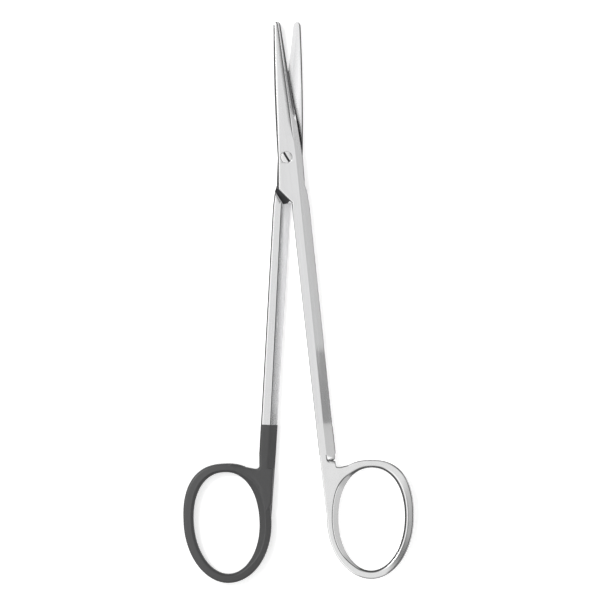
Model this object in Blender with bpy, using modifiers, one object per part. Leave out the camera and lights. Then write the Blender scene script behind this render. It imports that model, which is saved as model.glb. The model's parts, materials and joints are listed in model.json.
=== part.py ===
"""Strabismus scissors: two ring-handled levers that turn on one slotted screw.

Both levers come from one pattern, drawn for the front lever with the scissors shut. In the pattern x is
measured from the shut centre line towards the lever's own ring, y from the pivot towards the tips, and z
up from the table that the scissors lie on. The back lever is the same pattern turned over about the
centre line. Each lever is a forged blank with its ring joined on, then machined: half of its thickness
is cut away for the lap joint, the blade's inner face is hollow ground, and the screw hole is bored.

Sizes are in metres, angles in degrees.
"""

import math

import bmesh
import bpy
from mathutils import Matrix, Vector

# How the scissors lie
OPEN_ANGLE = 8.2                 # between the two levers, from shut
PIVOT_OFFSET = 0.00087           # of the screw, away from the front lever's ring

# Thickness
THICKNESS = 0.0034               # of shanks and of the whole lap joint
RIDE_GAP = 0.00010               # running gap between the two levers' flat ride faces
TIP_THICKNESS = 0.00085          # of one blade at its tip
EDGE_CHAMFER = 0.00016           # broken corners of spine and shank

# Blade
BLADE_LENGTH = 0.0338            # pivot to tip
JOINT_HALF_WIDTH = 0.00312       # of the lap joint beside the screw
TIP_SPINE = 0.00094              # from the centre line to the spine, at the tip
TIP_EDGE = 0.00072               # from the centre line to the cutting edge, at the tip
SPINE_CROWN = 0.00028            # outward bow of the spine at mid-blade
EDGE_HOLLOW = 0.00010            # inward bow of the cutting edge at mid-blade
TIP_ROUND = 0.00085              # length of the blunt rounded tip
TIP_STATION_ANGLES = (12.0, 30.0, 48.0, 68.0)   # where sections stand round the tip
TIP_HEIGHT_KEPT = 0.6            # share of its height that the tip keeps at its very end
BLADE_STATIONS = 12
BLADE_TAPER_START = 0.0040       # where the blade begins to thin
CUTTING_BEVEL = 0.00026          # width of the narrow ground edge
CUTTING_BEVEL_RISE = 0.00040     # height of the ground edge on the blade's side
CUTTING_BEVEL_END = 0.0066       # where the ground edge runs out, from the pivot
CUTTING_BEVEL_RUNOUT = 0.0022    # length over which it fades
HOLLOW_DEPTH = 0.00012           # of the hollow ground in the blade's inner face
HOLLOW_START = 0.0065            # of the hollow, from the pivot
HOLLOW_TO_TIP = 0.0022           # of its other end, from the tip
HOLLOW_WIDTH = 0.0026            # of the hollow at its middle
HOLLOW_MIDDLE = 0.0005           # of its middle, from the centre line to the spine

# Ridges between the flats and the bevels
RIDGE_AT_TIP = 0.00012
RIDGE_AT_JOINT = 0.00142
RIDGE_AT_RING = 0.00185
UNDER_RIDGE_AT_CROTCH = 0.00165
UNDER_RIDGE_AT_RING = 0.00180

# Lap joint outline below the screw
HEEL_DROP = 0.0076               # of the heel's corner, below the pivot
HEEL_REACH = 0.00378             # of the corner, from the centre line
SHOULDER_CUT_REACH = 3.0         # of the lap cutter past the joint, in joint half widths
CROTCH_DROP = 0.0113             # where the shank's inner side begins
WAIST_DROP = 0.0072
WAIST_HALF_WIDTH = 0.00304
SHOULDER_DROP = 0.0086           # of the kink where the full thickness begins
SHOULDER_REACH = 0.00342
SHOULDER_FOOT_DROP = 0.0117      # of the shoulder's lowest point
SHOULDER_FOOT_REACH = 0.0012
SHOULDER_SLANT = 55.0            # of the shoulder from its foot outwards, from +X
SHOULDER_INNER_DROP = 0.0112     # of the shoulder at the shank's inner side
JOINT_LAND = 0.00045             # height left of the ride face under the front bevel

# Shank
SHANK_TOP_DROP = 0.0125          # where the shank has its full width
SHANK_TOP_REACH = 0.00372
SHANK_INNER_REACH = 0.00076      # past the centre line at the top of the shank
SHANK_LAND = 0.00080             # flat height of the shank's inner side, at its top
NECK_LAND = 0.0016               # and at the neck
OUTER_LAND = 0.0018              # flat height of the shank's outer side
HIDDEN_RIDGE_SHARE = 0.55        # place of the under ridge where the lap cut takes it away
SHANK_STATIONS = 6
HANDLE_STATIONS = 8
NECK_RISE = 0.0027               # of the neck, where the shank ends, over the ring's crown
NECK_REACH = 0.00422
NECK_CLEARANCE = 0.00010         # of the neck from the centre line, shut
ROUNDING_LENGTH = 0.0180         # over which the shank's section turns round towards the ring
ROUNDING_RISE = 0.0075           # of its start over the neck
COAT_RISE = 0.0075               # of the handle's finish over the neck

# Finger ring
RING_CLEARANCE = 0.00037         # of the ring from the centre line, shut
RING_DROP = 0.09112              # centre, below the pivot
RING_LEAN = 6.1                  # of its long axis, top outwards
RING_THICKNESS = 0.0030
HOLE_HALF_WIDTH = 0.00815
HOLE_TOP = 0.01232
HOLE_BOTTOM = 0.01295
HOLE_SQUARENESS = 2.2            # exponent of the upper half's outline, 2 is an ellipse
BAND_OUTER = 0.00262             # width of the ring's band, on the side away from the shank
BAND_INNER = 0.00300             # and next to the shank
BAND_TOP = 0.00215
BAND_BOTTOM = 0.00232
RING_SQUARENESS = 2.45
CROWN_ANGLE = 90.0               # place of the ring's crown
RING_STATIONS = 60
RING_SECTION_POINTS = 10
RING_SECTION_POWER = 0.8         # 1 is a round section, less is squarer
SHANK_END_ANGLE = 184.0          # place in the ring's band where the shank's end is buried
SHANK_END_INSET = 0.00012        # of the end inside the band's two sides
SHANK_END_CORNER = 0.00070

# Web between shank and ring
WEB_THICKNESS = 0.0028
WEB_CORNER_DROP = 0.00108        # of the corner below the ring's crown
WEB_FILLET = 0.0013
WEB_EDGE_ROUND = 0.00020
WEB_CROWN_ANGLE = 95.0           # where the web meets the ring's crown
WEB_CROWN_DEPTH = 0.9            # in the band there, 1 is its rim
WEB_UNDER_ANGLES = (95.0, 105.0, 115.0, 125.0, 135.0, 145.0, 155.0)
WEB_FILLET_STEPS = 4

# Pivot screw
SCREW_HEAD_RADIUS = 0.00142
SCREW_RIM = 0.00020              # straight part of the head's side
SCREW_RADIUS = 0.00090
SCREW_PROUD = 0.00004            # of the head over the front face
SCREW_HEAD_EDGE = 0.00010
SCREW_END_CHAMFER = 0.00012
SCREW_END_INSET = 0.00005        # of the dressed end inside the back face
SLOT_WIDTH = 0.00038
SLOT_DEPTH = 0.00045
SLOT_ANGLE = -60.0               # of the slot, from +X
BORE_CLEARANCE = 0.00005         # radial, front lever on the screw
SEAT_CLEARANCE = 0.00008         # between screw head and countersink
THREAD_CLEARANCE = 0.00003       # radial, screw in the back lever
TURN_STEPS = 32
HOLLOW_SEGMENTS = 32
HOLLOW_RINGS = 12
SHARP_ANGLE = 28.0               # above which an edge is shaded sharp
STATION_GAP = 0.00004            # least distance between two sections of the blank

RIDE = THICKNESS / 2
RING_X = RING_CLEARANCE + BAND_INNER + HOLE_HALF_WIDTH
FLOOR_MARGIN = 0.001             # by which cutters run past what they cut
COLLECTION = "strabismus_scissors"

SATIN_STEEL = {"colour": (0.80, 0.80, 0.80), "metallic": 1.0, "roughness": 0.32}
BLACK_COAT = {"colour": (0.09, 0.09, 0.09), "metallic": 0.3, "roughness": 0.45}
SCREW_STEEL = {"colour": (0.82, 0.82, 0.82), "metallic": 1.0, "roughness": 0.22}


def clear_scene():
    for obj in list(bpy.data.objects):
        bpy.data.objects.remove(obj, do_unlink=True)


def make_collection(name):
    collection = bpy.data.collections.new(name)
    bpy.context.scene.collection.children.link(collection)
    return collection


def add_object(name, mesh, collection, parent):
    obj = bpy.data.objects.new(name, mesh)
    collection.objects.link(obj)
    obj.parent = parent
    return obj


def make_material(name, colour, metallic, roughness):
    material = bpy.data.materials.new(name)
    material.use_nodes = True
    shader = material.node_tree.nodes["Principled BSDF"]
    shader.inputs["Base Color"].default_value = (*colour, 1.0)
    shader.inputs["Metallic"].default_value = metallic
    shader.inputs["Roughness"].default_value = roughness
    return material


def mix(a, b, t):
    return a + (b - a) * t


def along(y, points):
    """Value at y on straight runs through (y, value) points, listed from the tip down."""
    if y >= points[0][0]:
        return points[0][1]
    for (y0, v0), (y1, v1) in zip(points, points[1:]):
        if y >= y1:
            return mix(v0, v1, (y0 - y) / (y0 - y1))
    return points[-1][1]


# Outline of the pattern, seen from the front

def egg(angle, half_in, half_out, top, bottom, squareness):
    """A point on an egg outline round the ring's centre, in the pattern's plan."""
    c, s = math.cos(math.radians(angle)), math.sin(math.radians(angle))
    power = 2 / squareness if s > 0 else 1.0
    x = math.copysign(abs(c) ** power, c) * (half_out if c > 0 else half_in)
    y = math.copysign(abs(s) ** power, s) * (top if s > 0 else bottom)
    lean = Matrix.Rotation(math.radians(-RING_LEAN), 2)
    return Vector((RING_X, -RING_DROP)) + lean @ Vector((x, y))


def hole_point(angle):
    return egg(angle, HOLE_HALF_WIDTH, HOLE_HALF_WIDTH, HOLE_TOP, HOLE_BOTTOM, HOLE_SQUARENESS)


def rim_point(angle):
    return egg(angle, HOLE_HALF_WIDTH + BAND_INNER, HOLE_HALF_WIDTH + BAND_OUTER,
               HOLE_TOP + BAND_TOP, HOLE_BOTTOM + BAND_BOTTOM, RING_SQUARENESS)


NECK_DROP = -rim_point(CROWN_ANGLE).y - NECK_RISE
COAT_DROP = NECK_DROP - COAT_RISE
SHANK_END_DROP = -rim_point(SHANK_END_ANGLE).y


def bow(y, root, tip, crown):
    """A blade side from its root to its tip that bows out by crown at the middle."""
    s = y / BLADE_LENGTH
    return mix(root, tip, s) + 4 * crown * s * (1 - s)


def left_side(y):
    """Spine, heel and inner side of the shank."""
    if y > 0:
        return -bow(y, JOINT_HALF_WIDTH, TIP_SPINE, SPINE_CROWN)
    return along(y, [
        (0.0, -JOINT_HALF_WIDTH),
        (-HEEL_DROP, -HEEL_REACH),
        (-CROTCH_DROP, -SHANK_INNER_REACH),
        (-NECK_DROP, NECK_CLEARANCE),
        (-SHANK_END_DROP, rim_point(SHANK_END_ANGLE).x + SHANK_END_INSET),
    ])


def right_side(y):
    """Cutting edge, waist and outer side of the shank."""
    if y > 0:
        return bow(y, JOINT_HALF_WIDTH, TIP_EDGE, -EDGE_HOLLOW)
    return along(y, [
        (0.0, JOINT_HALF_WIDTH),
        (-WAIST_DROP, WAIST_HALF_WIDTH),
        (-SHOULDER_DROP, SHOULDER_REACH),
        (-SHANK_TOP_DROP, SHANK_TOP_REACH),
        (-NECK_DROP, NECK_REACH),
        (-SHANK_END_DROP, hole_point(SHANK_END_ANGLE).x - SHANK_END_INSET),
    ])


def front_ridge(y):
    return along(y, [(BLADE_LENGTH, RIDGE_AT_TIP), (0.0, RIDGE_AT_JOINT), (-NECK_DROP, RIDGE_AT_RING)])


def under_ridge(y):
    return along(y, [(-CROTCH_DROP, UNDER_RIDGE_AT_CROTCH), (-NECK_DROP, UNDER_RIDGE_AT_RING)])


# Sections of the blank, as (x, z) rings of eight points, clockwise from the left side's foot

def working_section(y):
    """Blade, lap joint or shank. What lies under the ride face of blade and joint is cut away later."""
    left, right = left_side(y), right_side(y)
    top = along(y, [(BLADE_LENGTH, RIDE + TIP_THICKNESS), (BLADE_TAPER_START, THICKNESS)])
    below_ride = RIDE - JOINT_LAND
    left_foot = along(y, [
        (-HEEL_DROP, below_ride),
        (-CROTCH_DROP, THICKNESS - SHANK_LAND),
        (-NECK_DROP, THICKNESS - NECK_LAND),
    ])
    bevel_foot = along(y, [
        (BLADE_LENGTH, RIDE + CUTTING_BEVEL_RISE),
        (0.0, RIDE + JOINT_LAND),
        (-WAIST_DROP, RIDE + JOINT_LAND),
        (-SHANK_TOP_DROP, OUTER_LAND),
    ])
    edge_z = along(y, [(CUTTING_BEVEL_END, RIDE), (0.0, below_ride), (-WAIST_DROP, EDGE_CHAMFER)])
    ground = along(y, [(CUTTING_BEVEL_END, CUTTING_BEVEL), (CUTTING_BEVEL_END - CUTTING_BEVEL_RUNOUT, 0.0)])
    bottom = along(y, [(BLADE_TAPER_START, below_ride), (-WAIST_DROP, 0.0)])
    if y > -CROTCH_DROP:
        ridge_below = mix(left, right, HIDDEN_RIDGE_SHARE)
        blend = min(1.0, (y + CROTCH_DROP) / (CROTCH_DROP - HEEL_DROP))
        ridge_below = mix(UNDER_RIDGE_AT_CROTCH, ridge_below, blend)
    else:
        ridge_below = under_ridge(y)
    return [
        (left, min(left_foot, top - 2 * EDGE_CHAMFER)),
        (left, top - EDGE_CHAMFER),
        (left + EDGE_CHAMFER, top),
        (front_ridge(y), top),
        (right - ground, bevel_foot),
        (right, edge_z),
        (right - EDGE_CHAMFER, bottom),
        (ridge_below, bottom),
    ]


def round_section(y):
    """Shank end, with big rounded corners like the ring's band."""
    left, right = left_side(y), right_side(y)
    low, high = RIDE - RING_THICKNESS / 2, RIDE + RING_THICKNESS / 2
    corner = SHANK_END_CORNER
    return [
        (left, low + corner),
        (left, high - corner),
        (left + corner, high),
        (right - corner, high),
        (right, high - corner),
        (right, low + corner),
        (right - corner, low),
        (left + corner, low),
    ]


def section(y):
    """The blank's section at y: the blade end rounds off, the shank end turns into the round section."""
    ring = working_section(y)
    rounding_start = ROUNDING_RISE - NECK_DROP
    if y < rounding_start:
        t = min(1.0, (rounding_start - y) / ROUNDING_LENGTH)
        ring = [(mix(a, c, t), mix(b, d, t)) for (a, b), (c, d) in zip(ring, round_section(y))]
    overrun = y - (BLADE_LENGTH - TIP_ROUND)
    if overrun > 0:
        shrink = math.sqrt(max(0.0, 1 - (overrun / TIP_ROUND) ** 2))
        middle = (TIP_EDGE - TIP_SPINE) / 2
        low = RIDE - JOINT_LAND
        ring = [(mix(middle, x, shrink), mix(low, z, mix(TIP_HEIGHT_KEPT, 1, shrink))) for x, z in ring]
    return ring


def spaced(start, stop, count):
    return [mix(start, stop, i / count) for i in range(count)]


def blank_stations():
    """Where the sections stand, from the tip to the shank's end, none closer than STATION_GAP."""
    wanted = [BLADE_LENGTH - TIP_ROUND * (1 - math.cos(math.radians(a))) for a in TIP_STATION_ANGLES]
    wanted += spaced(BLADE_LENGTH - TIP_ROUND, CUTTING_BEVEL_END, BLADE_STATIONS)
    wanted += [CUTTING_BEVEL_END, CUTTING_BEVEL_END - CUTTING_BEVEL_RUNOUT, BLADE_TAPER_START, 0.0]
    wanted += [-HEEL_DROP / 2, -WAIST_DROP, -HEEL_DROP, -SHOULDER_DROP]
    wanted += [-mix(SHOULDER_DROP, CROTCH_DROP, 0.5), -CROTCH_DROP]
    wanted += spaced(-SHANK_TOP_DROP, -COAT_DROP, SHANK_STATIONS)
    wanted += spaced(-COAT_DROP, -SHANK_END_DROP, HANDLE_STATIONS)
    stations = [wanted[0]]
    for y in sorted(wanted, reverse=True):
        if y < stations[-1] - STATION_GAP:
            stations.append(y)
    return stations + [-SHANK_END_DROP]


def loft(rings, closed_loop):
    """A closed skin through rings of points, capped at its ends unless it closes on itself."""
    bm = bmesh.new()
    loops = [[bm.verts.new(point) for point in ring] for ring in rings]
    pairs = list(zip(loops, loops[1:]))
    if closed_loop:
        pairs.append((loops[-1], loops[0]))
    for first, second in pairs:
        count = len(first)
        for i in range(count):
            j = (i + 1) % count
            bm.faces.new((first[i], first[j], second[j], second[i]))
    if not closed_loop:
        bm.faces.new(loops[0])
        bm.faces.new(loops[-1])
    bmesh.ops.recalc_face_normals(bm, faces=bm.faces)
    return bm


def to_mesh(bm, name):
    mesh = bpy.data.meshes.new(name)
    bm.to_mesh(mesh)
    bm.free()
    return mesh


def blank_mesh(name):
    rings = [[Vector((x, y, z)) for x, z in section(y)] for y in blank_stations()]
    return to_mesh(loft(rings, closed_loop=False), name)


def band_point(angle, t):
    """A point in the ring's band, from the hole at t = 0 to the rim at t = 1."""
    return hole_point(angle).lerp(rim_point(angle), t)


def ring_mesh(name):
    """The band: a rounded section carried round the egg-shaped hole."""
    rings = []
    for i in range(RING_STATIONS):
        angle = 360 * i / RING_STATIONS
        points = []
        for k in range(RING_SECTION_POINTS):
            a = 2 * math.pi * (k + 0.5) / RING_SECTION_POINTS
            across = math.copysign(abs(math.cos(a)) ** RING_SECTION_POWER, math.cos(a))
            up = math.copysign(abs(math.sin(a)) ** RING_SECTION_POWER, math.sin(a))
            plan = band_point(angle, 0.5 + across / 2)
            points.append(Vector((plan.x, plan.y, RIDE + up * RING_THICKNESS / 2)))
        rings.append(points)
    return to_mesh(loft(rings, closed_loop=True), name)


# Flat shapes, drawn as 2D curves

def flat_solid(name, outline, low, high, edge_round, collection, parent):
    """A flat outline given a thickness, as a mesh whose caps are welded to its sides."""
    curve = bpy.data.curves.new(name, "CURVE")
    curve.dimensions = "2D"
    curve.fill_mode = "BOTH"
    curve.extrude = (high - low) / 2 - edge_round
    curve.bevel_depth = edge_round
    curve.bevel_resolution = 1
    curve.offset = -edge_round
    spline = curve.splines.new("POLY")
    spline.points.add(len(outline) - 1)
    for point, (x, y) in zip(spline.points, outline):
        point.co = (x, y, 0.0, 1.0)
    spline.use_cyclic_u = True
    guide = bpy.data.objects.new(name + "_curve", curve)
    collection.objects.link(guide)
    bpy.context.view_layer.update()
    mesh = bpy.data.meshes.new_from_object(guide.evaluated_get(bpy.context.evaluated_depsgraph_get()))
    bpy.data.objects.remove(guide, do_unlink=True)
    bm = bmesh.new()
    bm.from_mesh(mesh)
    bmesh.ops.remove_doubles(bm, verts=bm.verts, dist=1e-6)
    bmesh.ops.recalc_face_normals(bm, faces=bm.faces)
    bmesh.ops.translate(bm, verts=bm.verts, vec=(0, 0, (low + high) / 2))
    bm.to_mesh(mesh)
    bm.free()
    return add_object(name, mesh, collection, parent)


def web_outline():
    """The web fills the corner between the shank's outer side and the ring's crown."""
    crown = band_point(WEB_CROWN_ANGLE, WEB_CROWN_DEPTH)
    corner_y = rim_point(CROWN_ANGLE).y - WEB_CORNER_DROP
    corner = Vector((right_side(corner_y), corner_y))
    down = Vector((0, -1))
    outwards = (crown - corner).normalized()
    fillet_start = corner - down * WEB_FILLET
    fillet_end = corner + outwards * WEB_FILLET
    fillet = []
    for i in range(WEB_FILLET_STEPS + 1):
        t = i / WEB_FILLET_STEPS
        fillet.append(fillet_start.lerp(corner, t).lerp(corner.lerp(fillet_end, t), t))
    inside_shank = mix(left_side(corner_y), right_side(corner_y), 0.5)
    start = Vector((inside_shank, -NECK_DROP))
    under = [band_point(angle, 0.5) for angle in WEB_UNDER_ANGLES]
    return [start, Vector((fillet_start.x - WEB_FILLET, -NECK_DROP))] + fillet + [crown] + under


def shoulder_outline():
    """Plan of the lap cut: everything on the tip side of the shoulder."""
    foot = Vector((SHOULDER_FOOT_REACH, -SHOULDER_FOOT_DROP))
    inner = Vector((-SHANK_INNER_REACH, -SHOULDER_INNER_DROP))
    slant = math.radians(SHOULDER_SLANT)
    reach = SHOULDER_CUT_REACH * JOINT_HALF_WIDTH
    far_right = foot + reach * Vector((math.cos(slant), math.sin(slant)))
    far_left = inner + SHOULDER_CUT_REACH * (inner - foot)
    beyond = BLADE_LENGTH + FLOOR_MARGIN
    return [(far_right.x, beyond), (far_left.x, beyond), far_left, foot, far_right]


# Turned shapes

def turned(name, profile, collection, parent):
    """A profile of (radius, z) points from top to bottom, turned about the z axis."""
    mesh = bpy.data.meshes.new(name)
    edges = [(i, i + 1) for i in range(len(profile) - 1)]
    mesh.from_pydata([(r, 0.0, z) for r, z in profile], edges, [])
    obj = add_object(name, mesh, collection, parent)
    screw = obj.modifiers.new("Turn", "SCREW")
    screw.steps = TURN_STEPS
    screw.render_steps = TURN_STEPS
    screw.use_merge_vertices = True
    screw.merge_threshold = 1e-6
    screw.use_normal_calculate = False
    return obj


def screw_profile():
    top = THICKNESS + SCREW_PROUD
    cone_top = THICKNESS - SCREW_RIM
    cone_foot = cone_top - (SCREW_HEAD_RADIUS - SCREW_RADIUS)
    end = SCREW_END_INSET
    return [
        (0.0, top),
        (SCREW_HEAD_RADIUS - SCREW_HEAD_EDGE, top),
        (SCREW_HEAD_RADIUS, top - SCREW_HEAD_EDGE),
        (SCREW_HEAD_RADIUS, cone_top),
        (SCREW_RADIUS, cone_foot),
        (SCREW_RADIUS, end + SCREW_END_CHAMFER),
        (SCREW_RADIUS - SCREW_END_CHAMFER, end),
        (0.0, end),
    ]


def countersink_profile():
    """The front lever's hole: the screw's own shape with its clearances."""
    cone_top = THICKNESS - SCREW_RIM - SEAT_CLEARANCE
    head = SCREW_HEAD_RADIUS + SEAT_CLEARANCE
    bore = SCREW_RADIUS + BORE_CLEARANCE
    return [
        (0.0, THICKNESS + FLOOR_MARGIN),
        (head, THICKNESS + FLOOR_MARGIN),
        (head, cone_top),
        (bore, cone_top - (head - bore)),
        (bore, -FLOOR_MARGIN),
        (0.0, -FLOOR_MARGIN),
    ]


def thread_profile():
    bore = SCREW_RADIUS + THREAD_CLEARANCE
    return [
        (0.0, THICKNESS + FLOOR_MARGIN),
        (bore, THICKNESS + FLOOR_MARGIN),
        (bore, -FLOOR_MARGIN),
        (0.0, -FLOOR_MARGIN),
    ]


def boolean(target, operation, other):
    modifier = target.modifiers.new(f"{operation.title()} {other.name}", "BOOLEAN")
    modifier.operation = operation
    modifier.object = other
    modifier.solver = "EXACT"


def as_cutter(obj):
    obj.hide_render = True
    obj.display_type = "WIRE"
    return obj


def hollow_cutter(name, collection, parent):
    """A flat lens that grinds the blade's inner face hollow between its two ends."""
    bm = bmesh.new()
    bmesh.ops.create_uvsphere(bm, u_segments=HOLLOW_SEGMENTS, v_segments=HOLLOW_RINGS, radius=1.0)
    near, far = HOLLOW_START, BLADE_LENGTH - HOLLOW_TO_TIP
    root = -HOLLOW_MIDDLE
    lens = Matrix.Diagonal((HOLLOW_WIDTH / 2, (far - near) / 2, HOLLOW_DEPTH, 1.0))
    bm.transform(Matrix.Translation((root, (near + far) / 2, RIDE + RIDE_GAP / 2)) @ lens)
    return add_object(name, to_mesh(bm, name), collection, parent)


def coat_faces(obj, coat):
    """Give the handle's faces the coat's material slot."""
    for face in obj.data.polygons:
        if face.center.y < -COAT_DROP:
            face.material_index = coat


def make_lever(name, parts, cutters, frame, materials, turned_over):
    """One lever, built in the pattern's frame and then moved into the frame of its own axis."""
    pivot_x = PIVOT_OFFSET if turned_over else -PIVOT_OFFSET
    to_axis = Matrix.Translation((-pivot_x, 0, 0))
    if turned_over:
        mid = Matrix.Translation((0, 0, RIDE))
        to_axis = mid @ Matrix.Rotation(math.pi, 4, "Y") @ mid.inverted() @ to_axis

    lever = add_object(name, blank_mesh(name), parts, frame)
    ring = add_object(name + "_ring", ring_mesh(name + "_ring"), cutters, frame)
    web = flat_solid(name + "_web", web_outline(), RIDE - WEB_THICKNESS / 2, RIDE + WEB_THICKNESS / 2,
                     WEB_EDGE_ROUND, cutters, frame)
    lap = flat_solid(name + "_lap_cut", shoulder_outline(), -FLOOR_MARGIN, RIDE + RIDE_GAP / 2,
                     0.0, cutters, frame)
    hollow = hollow_cutter(name + "_hollow_cut", cutters, frame)
    for obj in (lever, ring, web, lap, hollow):
        for material in materials:
            obj.data.materials.append(material)
        if obj not in (lap, hollow):
            coat_faces(obj, len(materials) - 1)
        obj.data.transform(to_axis)

    profile = thread_profile() if turned_over else countersink_profile()
    bore = turned(name + "_bore", profile, cutters, frame)
    for obj in (ring, web, lap, hollow, bore):
        as_cutter(obj)
    boolean(lever, "UNION", ring)
    boolean(lever, "UNION", web)
    boolean(lever, "DIFFERENCE", lap)
    boolean(lever, "DIFFERENCE", hollow)
    boolean(lever, "DIFFERENCE", bore)
    return lever


def make_screw(parts, cutters, frame, material):
    screw = turned("pivot_screw", screw_profile(), parts, frame)
    screw.data.materials.append(material)
    bm = bmesh.new()
    bmesh.ops.create_cube(bm, size=1.0)
    size = (3 * SCREW_HEAD_RADIUS, SLOT_WIDTH, 2 * SLOT_DEPTH)
    bmesh.ops.scale(bm, vec=size, verts=bm.verts)
    slot = as_cutter(add_object("screw_slot_cut", to_mesh(bm, "screw_slot_cut"), cutters, frame))
    slot.location = (0, 0, THICKNESS + SCREW_PROUD)
    slot.rotation_euler = (0, 0, math.radians(SLOT_ANGLE))
    boolean(screw, "DIFFERENCE", slot)
    return screw


def shade_round(obj, sharp_angle):
    obj.data.shade_smooth()
    obj.data.set_sharp_from_angle(angle=math.radians(sharp_angle))


def add_empty(name, collection, parent, turn):
    empty = bpy.data.objects.new(name, None)
    collection.objects.link(empty)
    empty.parent = parent
    empty.rotation_euler = (0, 0, math.radians(turn))
    return empty


def centre_on_floor(root, objects):
    """Move the scissors so that the middle of their box's underside is the origin."""
    bpy.context.view_layer.update()
    graph = bpy.context.evaluated_depsgraph_get()
    corners = []
    for obj in objects:
        evaluated = obj.evaluated_get(graph)
        corners += [evaluated.matrix_world @ vertex.co for vertex in evaluated.data.vertices]
    low = Vector(min(c[i] for c in corners) for i in range(3))
    high = Vector(max(c[i] for c in corners) for i in range(3))
    root.location = -Vector(((low.x + high.x) / 2, (low.y + high.y) / 2, low.z))
    bpy.context.view_layer.update()


def main():
    clear_scene()
    parts = make_collection(COLLECTION)
    cutters = make_collection(COLLECTION + "_cutters")
    root = add_empty("scissors", parts, None, 0.0)
    front_frame = add_empty("front_axis", parts, root, OPEN_ANGLE / 2)
    back_frame = add_empty("back_axis", parts, root, -OPEN_ANGLE / 2)

    front_steel = make_material("front_satin_steel", **SATIN_STEEL)
    back_steel = make_material("back_satin_steel", **SATIN_STEEL)
    black_coat = make_material("black_coat", **BLACK_COAT)
    screw_steel = make_material("screw_steel", **SCREW_STEEL)

    front = make_lever("front_lever", parts, cutters, front_frame, [front_steel], False)
    back = make_lever("back_lever", parts, cutters, back_frame, [back_steel, black_coat], True)
    screw = make_screw(parts, cutters, root, screw_steel)
    for obj in (front, back, screw):
        shade_round(obj, SHARP_ANGLE)
    centre_on_floor(root, [front, back, screw])


main()
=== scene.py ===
# %% [markdown]
# # Strabismus scissors: the looks
#
# The CAD model gives three pieces: a front lever, a back lever turned over behind it, and the slotted
# screw that they turn on. This lesson dresses them. Both levers come from one pattern, so one set of
# functions draws both: x runs from the shut centre line to the lever's own ring, y from the screw to the
# tips, and z up from the table. Sizes are in metres, angles in degrees.

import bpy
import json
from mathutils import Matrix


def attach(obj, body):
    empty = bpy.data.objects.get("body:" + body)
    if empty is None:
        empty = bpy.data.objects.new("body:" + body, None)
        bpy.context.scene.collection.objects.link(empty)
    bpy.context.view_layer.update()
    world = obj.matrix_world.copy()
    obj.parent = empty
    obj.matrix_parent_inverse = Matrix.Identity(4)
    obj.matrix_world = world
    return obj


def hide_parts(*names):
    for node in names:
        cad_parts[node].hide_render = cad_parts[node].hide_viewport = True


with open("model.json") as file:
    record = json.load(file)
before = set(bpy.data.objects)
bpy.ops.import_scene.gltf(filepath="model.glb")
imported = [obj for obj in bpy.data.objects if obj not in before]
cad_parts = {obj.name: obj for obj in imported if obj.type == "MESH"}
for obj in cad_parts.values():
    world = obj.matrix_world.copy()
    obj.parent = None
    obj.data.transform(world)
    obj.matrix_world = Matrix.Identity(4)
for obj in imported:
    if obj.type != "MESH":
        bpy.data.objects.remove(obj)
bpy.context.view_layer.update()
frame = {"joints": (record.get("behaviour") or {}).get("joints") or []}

# %% Tools, and where the screw stands
import json
import math

import bmesh
import bpy
from mathutils import Matrix, Vector

PIVOT = Vector(frame["joints"][0]["pos_m"])
OPEN_ANGLE = 8.2          # between the two levers, from shut
PIVOT_OFFSET = 0.00087    # of the screw from the centre line, away from the front lever's ring
THICKNESS = 0.0034        # of the shanks and of the whole lap joint
RIDE = THICKNESS / 2      # height of the plane between the two levers
RIDE_FACE = RIDE + 0.00005  # of each lever: half of the running gap over that plane
print("screw axis", [round(c * 1000, 3) for c in PIVOT], "mm")

# %% [markdown]
# ## Lines of the pattern
#
# A forged lever is drawn as a few straight runs: spine, cutting edge, heel, waist, shoulder and shank. Each
# side is a list of (y, reach) points, read off in between. The blade's two sides bow a little, so they get
# a parabola on top. The finger ring's hole and rim are egg shapes with their own halves. One could trace a
# curve by hand, but named numbers keep this pattern the same as the solid's.

# %% Reading values along the lever
def mix(a, b, t):
    return a + (b - a) * t


def along(y, points):
    """Value at y on straight runs through (y, value) points, listed from the tip down."""
    if y >= points[0][0]:
        return points[0][1]
    for (y0, v0), (y1, v1) in zip(points, points[1:]):
        if y >= y1:
            return mix(v0, v1, (y0 - y) / (y0 - y1))
    return points[-1][1]


# %% The ring's hole and rim
RING_LEAN = 6.1           # outwards
HOLE = {"in": 0.00815, "out": 0.00815, "top": 0.01232, "bottom": 0.01295, "square": 2.2}
RIM = {"in": 0.01115, "out": 0.01070, "top": 0.01447, "bottom": 0.01521, "square": 2.45}
RING_CENTRE = Vector((0.01152, -0.09112))


def egg(angle, shape):
    """A point of the hole or the rim, in the pattern's plan."""
    c, s = math.cos(math.radians(angle)), math.sin(math.radians(angle))
    power = 2 / shape["square"] if s > 0 else 1.0
    x = math.copysign(abs(c) ** power, c) * shape["out" if c > 0 else "in"]
    y = math.copysign(abs(s) ** power, s) * shape["top" if s > 0 else "bottom"]
    return RING_CENTRE + Matrix.Rotation(math.radians(-RING_LEAN), 2) @ Vector((x, y))


NECK_DROP = -egg(90, RIM).y - 0.0027
COAT_DROP = NECK_DROP - 0.0075
SHANK_END_DROP = -egg(184, RIM).y
print("neck", round(NECK_DROP * 1000, 2), "coat line", round(COAT_DROP * 1000, 2), "mm below the screw")

# %% Left and right side of blade, joint and shank
BLADE_LENGTH = 0.03378
HEEL_DROP = 0.0076        # each drop is measured down from the screw
CROTCH_DROP = 0.0113
WAIST_DROP = 0.0072
SHANK_TOP_DROP = 0.0125


def bow(y, root, tip, crown):
    """A blade side from its root to its tip that bows out by crown at the middle."""
    s = y / BLADE_LENGTH
    return mix(root, tip, s) + 4 * crown * s * (1 - s)


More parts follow.
